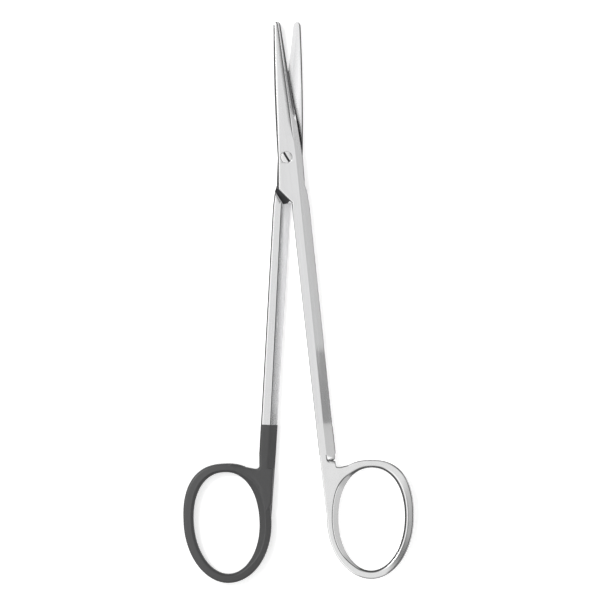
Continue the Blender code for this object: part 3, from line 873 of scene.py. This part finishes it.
def scaled_noise(tree, vector, scales, detail):
    """Noise on the vector, stretched by three scales. Each is a number or a socket, in 1/m."""
    stretch = tree.nodes.new("ShaderNodeCombineXYZ")
    for socket, scale in zip(stretch.inputs, scales):
        if isinstance(scale, bpy.types.NodeSocket):
            tree.links.new(scale, socket)
        else:
            socket.default_value = scale
    multiply = tree.nodes.new("ShaderNodeVectorMath")
    multiply.operation = "MULTIPLY"
    tree.links.new(vector, multiply.inputs[0])
    tree.links.new(stretch.outputs[0], multiply.inputs[1])
    noise = tree.nodes.new("ShaderNodeTexNoise")
    noise.inputs["Scale"].default_value = 1.0
    noise.inputs["Detail"].default_value = detail
    tree.links.new(multiply.outputs[0], noise.inputs["Vector"])
    return noise.outputs["Fac"]


# %% The belt grain, as a node group
def belt_grain():
    group, given, result = shader_group("belt_grain", {"Lines": 9000.0, "Run": 120.0}, ["Height", "Streak"])
    maths = node_maths(group)
    lines = given["Lines"]
    fine = scaled_noise(group, given["Vector"], (lines, given["Run"], lines), 2.0)
    wide = maths("MULTIPLY", lines, 0.22)
    broad = scaled_noise(group, given["Vector"], (wide, maths("MULTIPLY", given["Run"], 0.3), wide), 3.0)
    height = maths("ADD", maths("MULTIPLY", fine, 0.6), maths("MULTIPLY", broad, 0.4))
    group.links.new(height, result["Height"])
    group.links.new(broad, result["Streak"])
    return group


# %% Smears of handling, as a node group
def handling_smears():
    group, given, result = shader_group("handling_smears", {"Size": 260.0}, ["Mask"])
    size = given["Size"]
    cloud = scaled_noise(group, given["Vector"], (size, size, size), 4.0)
    group.links.new(smooth_range(group, cloud, 0.42, 0.68), result["Mask"])
    return group


GRAIN = belt_grain()
SMEARS = handling_smears()


# %% A finish made from the two groups
AO_SAMPLES = 16           # rays of the Ambient Occlusion node
COVERED, OPEN = 0.85, 0.94  # open share of the sky at which the painted shade is darkest, and at which it ends


def finish_material(material, colour, metallic, turn, rough, edge_rough, grain_depth, smear, tone, lines, run,
                    painted_shade_reach=0.0):
    """turn is the lever's own direction in degrees, rough and edge_rough are the roughness of face and edge.
    The last argument is a distance: within it of a wall that stands over the face, the face's colour darkens
    almost to black, which is painted shade."""
    material.use_nodes = True
    tree = material.node_tree
    maths, link = node_maths(tree), tree.links.new
    shader = tree.nodes["Principled BSDF"]
    shader.inputs["Metallic"].default_value = metallic
    at = tree.nodes.new("ShaderNodeTexCoord").outputs["Object"]
    mapping = tree.nodes.new("ShaderNodeMapping")
    mapping.inputs["Rotation"].default_value = (0, 0, math.radians(-turn))
    link(at, mapping.inputs["Vector"])
    grain = tree.nodes.new("ShaderNodeGroup")
    grain.node_tree = GRAIN
    grain.inputs["Lines"].default_value = lines
    grain.inputs["Run"].default_value = run
    link(mapping.outputs[0], grain.inputs["Vector"])
    smears = tree.nodes.new("ShaderNodeGroup")
    smears.node_tree = SMEARS
    link(at, smears.inputs["Vector"])
    edge = tree.nodes.new("ShaderNodeAttribute")
    edge.attribute_name = "edge"
    streak = maths("SUBTRACT", grain.outputs["Streak"], 0.5)
    shade = maths("ADD", 1.0, maths("MULTIPLY", streak, tone))
    shade = maths("SUBTRACT", shade, maths("MULTIPLY", smears.outputs["Mask"], 0.25 * smear))
    # Painted shade: an Ambient Occlusion node darkens the colour almost to black next to a wall that stands
    # over the face.
    if painted_shade_reach:
        covered = tree.nodes.new("ShaderNodeAmbientOcclusion")
        covered.samples = AO_SAMPLES
        covered.inputs["Distance"].default_value = painted_shade_reach
        painted_shade_factor = smooth_range(tree, covered.outputs["AO"], COVERED, OPEN, lowest=0.02)
        shade = maths("MULTIPLY", shade, painted_shade_factor)
    mixed = tree.nodes.new("ShaderNodeVectorMath")
    mixed.operation = "SCALE"
    mixed.inputs[0].default_value = colour
    link(shade, mixed.inputs["Scale"])
    link(mixed.outputs[0], shader.inputs["Base Color"])
    face = maths("ADD", rough, maths("MULTIPLY", streak, 0.25 * rough))
    face = maths("ADD", face, maths("MULTIPLY", smears.outputs["Mask"], smear))
    fade = maths("MULTIPLY", edge.outputs["Fac"], maths("SUBTRACT", edge_rough, face))
    link(maths("ADD", face, fade), shader.inputs["Roughness"])
    bump = tree.nodes.new("ShaderNodeBump")
    bump.inputs["Distance"].default_value = grain_depth
    bump.inputs["Strength"].default_value = 0.5
    depth = maths("MULTIPLY", grain.outputs["Height"], maths("SUBTRACT", 1.0, edge.outputs["Fac"]))
    link(depth, bump.inputs["Height"])
    link(bump.outputs[0], shader.inputs["Normal"])
    return material


SATIN = dict(colour=(0.775, 0.775, 0.78), metallic=1.0, rough=0.25, edge_rough=0.13, grain_depth=0.0000012,
             smear=0.02, tone=0.10, lines=9000.0, run=90.0)
# The ride faces carry painted shade: their colour darkens where the other blade stands over them.
GROUND = dict(colour=(0.90, 0.90, 0.905), metallic=1.0, rough=0.22, edge_rough=0.13, grain_depth=0.0000008,
              smear=0.02, tone=0.05, lines=7000.0, run=120.0, painted_shade_reach=0.002)
POLISHED = dict(colour=(0.80, 0.80, 0.80), metallic=1.0, rough=0.11, edge_rough=0.10, grain_depth=0.0000004,
                smear=0.05, tone=0.03, lines=3000.0, run=900.0)
# Near-black steel: painted shade for the lap seen in the gap at the shoulder, and for the screw's slot.
LAP_PAINTED_SHADE = dict(colour=(0.05, 0.05, 0.052), metallic=1.0, rough=0.42, edge_rough=0.3, grain_depth=0.000004,
           smear=0.1, tone=1.2, lines=2600.0, run=2600.0)
TURN = OPEN_ANGLE / 2
new_material = bpy.data.materials.new
front_satin = finish_material(new_material("front_satin_steel"), turn=TURN, **SATIN)
front_ground = finish_material(new_material("front_ground_face"), turn=TURN, **GROUND)
back_satin = finish_material(new_material("back_satin_steel"), turn=-TURN, **SATIN)
back_ground = finish_material(new_material("back_ground_face"), turn=-TURN, **GROUND)
finish_material(handle_steel, turn=TURN, **POLISHED)
print("finishes", [m.name for m in bpy.data.materials])

# %% [markdown]
# ## The black coat
#
# The back lever's ring and the end of its shank carry a hard semi-matt coat, so that a surgeon can tell the
# instrument at a glance. It isn't metal to the eye: a dark grey body with a dull sheen and a very fine
# pebble. It is thinner on the edges, so they shine a little more.

# %% The coat's material
COAT = dict(colour=(0.073, 0.073, 0.074), metallic=0.0, rough=0.42, edge_rough=0.3, grain_depth=0.000002,
            smear=0.04, tone=0.12, lines=5000.0, run=2500.0)
black_coat = finish_material(new_material("black_coat"), turn=-TURN, **COAT)

# %% Profiles of the screw hole in either lever, as (radius, height) points
SCREW_HEAD_RADIUS = 0.00142
SCREW_RADIUS = 0.0009
HEAD_SIDE = 0.00028       # straight part of the countersink's wall
FAR = 0.001               # every cutter reaches at least this far past the lever
head, bore = SCREW_HEAD_RADIUS + 0.00002, SCREW_RADIUS + 0.00005
cone_top = THICKNESS - HEAD_SIDE
countersink = [(0.0, THICKNESS + 0.00019), (head + 0.0015, THICKNESS + 0.00019), (head, THICKNESS - 0.00001),
               (head, cone_top), (bore, cone_top - (head - bore)), (bore, -FAR), (0.0, -FAR)]
thread = SCREW_RADIUS + 0.00003
thread_bore = [(0.0, THICKNESS + FAR), (thread, THICKNESS + FAR), (thread, 0.0001), (thread + 0.0001, 0.0),
               (thread + 0.0001 + FAR, -FAR), (0.0, -FAR)]
chamfer = head + 0.00007
opening = [(0.0, THICKNESS + 0.0002), (chamfer + 0.0008, THICKNESS + 0.0002),
           (chamfer - 0.00013, THICKNESS - 0.00003), (0.0, THICKNESS - 0.00003)]

# %% Making the two levers
# The lap's near-black colour is painted shade.
painted_shade_steel = finish_material(new_material("painted_shade_lap"), turn=0.0, **LAP_PAINTED_SHADE)
front_lever = lever("front_lever_steel", False, countersink,
                    [front_satin, front_ground, handle_steel, painted_shade_steel], opening)
back_lever = lever("back_lever_steel", True, thread_bore, [back_satin, back_ground, black_coat, painted_shade_steel])
for leftover in (blank, grip):
    bpy.data.objects.remove(leftover)

# %% [markdown]
# ## The slotted screw
#
# The screw is turned on a lathe, so its profile is turned about the axis. Its slot is sawn, and the saw
# leaves square walls with a slightly broken rim: the slot cutter opens out at its very top. The screw's
# lower end is dressed flush with the back lever.

# %% Turning the screw and sawing its slot
SCREW_TOP = THICKNESS + 0.00004
CONE_TOP = THICKNESS - 0.00025
SCREW_END = 0.00005       # inside the back lever's face
SLOT_HALF = 0.00025       # of its width
SLOT_DEPTH = 0.00045
SLOT_TURN = -60
screw_profile = [
    (0.0, SCREW_TOP), (SCREW_HEAD_RADIUS - 0.00014, SCREW_TOP),
    (SCREW_HEAD_RADIUS - 0.00003, SCREW_TOP - 0.00002),
    (SCREW_HEAD_RADIUS, SCREW_TOP - 0.00006), (SCREW_HEAD_RADIUS, CONE_TOP),
    (SCREW_RADIUS, CONE_TOP - (SCREW_HEAD_RADIUS - SCREW_RADIUS)),
    (SCREW_RADIUS, SCREW_END + 0.00012), (SCREW_RADIUS - 0.00012, SCREW_END), (0.0, SCREW_END),
]


def slot_cutter():
    half, reach = SLOT_HALF, 2 * SCREW_HEAD_RADIUS
    flare = 0.0002
    levels = [(SCREW_TOP - SLOT_DEPTH, half), (SCREW_TOP - 0.00002, half), (SCREW_TOP + flare, half + flare)]
    rings = [[Vector((x, y, z)) for x, y in ((-reach, -w), (reach, -w), (reach, w), (-reach, w))]
             for z, w in levels]
    obj = object_of(loft(rings), "slot_cutter")
    obj.data.transform(Matrix.Rotation(math.radians(SLOT_TURN), 4, "Z"))
    return obj


screw = turned(screw_profile, "slotted_screw")
cut(screw, slot_cutter())
screw.data.transform(Matrix.Translation(PIVOT))
screw.data.shade_smooth()
screw.data.set_sharp_from_angle(angle=math.radians(SHARP_HAND))
SCREW = dict(colour=(0.80, 0.80, 0.80), metallic=1.0, rough=0.16, edge_rough=0.13, grain_depth=0.000001,
             smear=0.02, tone=0.06, lines=6000.0, run=6000.0)
screw_steel = finish_material(new_material("screw_steel"), turn=0.0, **SCREW)
# The slot's walls and floor take the near-black steel: painted shade in the deep, narrow slot.
dress(screw, [screw_steel, painted_shade_steel])
slot_direction = Vector((math.cos(math.radians(SLOT_TURN)), math.sin(math.radians(SLOT_TURN)), 0))
for face in screw.data.polygons:
    in_slot = abs((face.center - PIVOT).cross(slot_direction).z) < SLOT_HALF + 0.00001
    sunk = SCREW_TOP - SLOT_DEPTH - 0.00005 < face.center.z < SCREW_TOP - 0.00001
    face.material_index = int(in_slot and sunk)
print("screw", len(screw.data.polygons), "faces")

# %% Each piece rides on its body
for piece, body, node, slot_name in (
        (front_lever, "front", "front_lever", "bare_steel"),
        (back_lever, "back", "back_lever", "coated_steel"),
        (screw, "back", "pivot_screw", "screw_steel")):
    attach(piece, body)
    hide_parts(node)

# %% [markdown]
# ## Floor, light and camera
#
# The scissors lie on a plain pale table under a big soft studio dome. Polished steel shows what is around
# it, so the dome matters more than any lamp. Its top is pale and its left side bright. Front and back fall
# off to grey. On the right a dark band, a bright one and a pale wall stand over each other, and their
# mirror images tell the bevels, the ground strip and the rims apart. A dark band at the horizon draws
# the thin dark lines along the edges.

# %% The floor
FLOOR_REACH = 2.5
FLOOR_GLOW = 0.56         # on what camera and mirror images see: it lifts the lit floor to white


def floor_material():
    material = new_material("pale_table")
    material.use_nodes = True
    tree = material.node_tree
    maths = node_maths(tree)
    shader = tree.nodes["Principled BSDF"]
    shader.inputs["Base Color"].default_value = (0.88, 0.88, 0.88, 1)
    shader.inputs["Roughness"].default_value = 0.9
    shader.inputs["Emission Color"].default_value = (1, 1, 1, 1)
    rays = tree.nodes.new("ShaderNodeLightPath").outputs
    seen = maths("MAXIMUM", rays["Is Camera Ray"], maths("MAXIMUM", rays["Is Glossy Ray"],
                                                         rays["Is Transmission Ray"]))
    tree.links.new(maths("MULTIPLY", seen, FLOOR_GLOW), shader.inputs["Emission Strength"])
    return material


floor_mesh = bpy.data.meshes.new("table")
corners = [(x * FLOOR_REACH, y * FLOOR_REACH, 0) for x, y in ((-1, -1), (1, -1), (1, 1), (-1, 1))]
floor_mesh.from_pydata(corners, [], [(0, 1, 2, 3)])
floor = linked(bpy.data.objects.new("table", floor_mesh))
floor.data.materials.append(floor_material())

# %% The studio dome, as (degrees from straight up, brightness)
DOME_STRENGTH = 2.0       # a colour ramp ends at 1, so it holds the brightness divided by this
LEFT_DOME = [(0, 0.94), (8, 0.94), (11, 1.15), (19, 1.2), (58, 1.2), (66, 0.10), (91, 0.10), (96, 0.9)]
SIDE_DOME = [(0, 0.94), (14, 0.9), (30, 0.5), (50, 0.12), (91, 0.10), (96, 0.9)]
FLAG_DOME = [(0, 0.94), (6, 0.9), (10, 0.5), (15, 0.12), (52, 0.12), (60, 0.6), (72, 0.6), (80, 0.10),
             (91, 0.10), (96, 0.9)]
RIGHT_DOME = [(0, 0.94), (7, 0.92), (16, 0.4), (20, 0.08), (38, 0.08), (47, 1.3), (56, 1.3), (64, 0.70),
              (80, 0.64), (86, 0.08), (91, 0.08), (96, 0.9)]


world = bpy.data.worlds.new("studio_dome")
bpy.context.scene.world = world
world.use_nodes = True
tree = world.node_tree
maths = node_maths(tree)
parts = tree.nodes.new("ShaderNodeSeparateXYZ")
tree.links.new(tree.nodes.new("ShaderNodeTexCoord").outputs["Generated"], parts.inputs[0])
x, y, z = parts.outputs
from_top = maths("DIVIDE", maths("ARCCOSINE", z), math.pi)
squares = maths("ADD", maths("MULTIPLY", x, x), maths("ADD", maths("MULTIPLY", y, y), 1e-6))
facing = maths("DIVIDE", x, maths("SQRT", squares))  # -1 towards the left, 1 towards the right


def dome_ramp(stops):
    ramp = tree.nodes.new("ShaderNodeValToRGB")
    elements = ramp.color_ramp.elements
    for element, (degrees, value) in zip(elements, (stops[0], stops[-1])):
        element.color = (value / DOME_STRENGTH,) * 3 + (1,)
    for degrees, value in stops[1:]:
        elements.new(degrees / 180).color = (value / DOME_STRENGTH,) * 3 + (1,)
    tree.links.new(from_top, ramp.inputs[0])
    return ramp.outputs[0]


def blended(low, high, start, stop):
    """Goes over from low to high while the facing goes from start to stop."""
    blend = tree.nodes.new("ShaderNodeMix")
    blend.data_type = "RGBA"
    tree.links.new(smooth_range(tree, facing, start, stop), blend.inputs[0])
    tree.links.new(low, blend.inputs[6])
    tree.links.new(high, blend.inputs[7])
    return blend.outputs[2]


whole_dome = dome_ramp(LEFT_DOME)
for stops, start, stop in ((SIDE_DOME, -0.6, -0.2), (FLAG_DOME, 0.5, 0.62), (RIGHT_DOME, 0.78, 0.9)):
    whole_dome = blended(whole_dome, dome_ramp(stops), start, stop)
background = tree.nodes["Background"]
background.inputs["Strength"].default_value = DOME_STRENGTH
tree.links.new(whole_dome, background.inputs["Color"])
print("dome", len(tree.nodes), "nodes")

# %% A soft lamp for the shadow
lamp_data = bpy.data.lights.new("soft_lamp", "AREA")
lamp_data.shape = "DISK"
lamp_data.size = 0.6
lamp_data.energy = 12
lamp = linked(bpy.data.objects.new("soft_lamp", lamp_data))
lamp.location = (-0.95, 0.7, 1.5)
lamp.rotation_euler = (-lamp.location).to_track_quat("-Z", "Y").to_euler()

# %% The camera looks straight down
VIEW_WIDTH = 0.1491       # what the photograph shows from side to side
ROLL = 1.4
DISTANCE = 0.95
SENSOR = 36
camera_data = bpy.data.cameras.new("camera")
camera_data.sensor_width = SENSOR
camera_data.lens = SENSOR * DISTANCE / VIEW_WIDTH
camera_data.clip_end = 10
camera = linked(bpy.data.objects.new("camera", camera_data))
camera.location = (0.00157, 0.00029, RIDE + DISTANCE)
camera.rotation_euler = (0, 0, math.radians(-ROLL))
bpy.context.scene.camera = camera
bpy.context.scene.view_settings.view_transform = "Standard"
print("lens", round(camera_data.lens, 1), "mm")
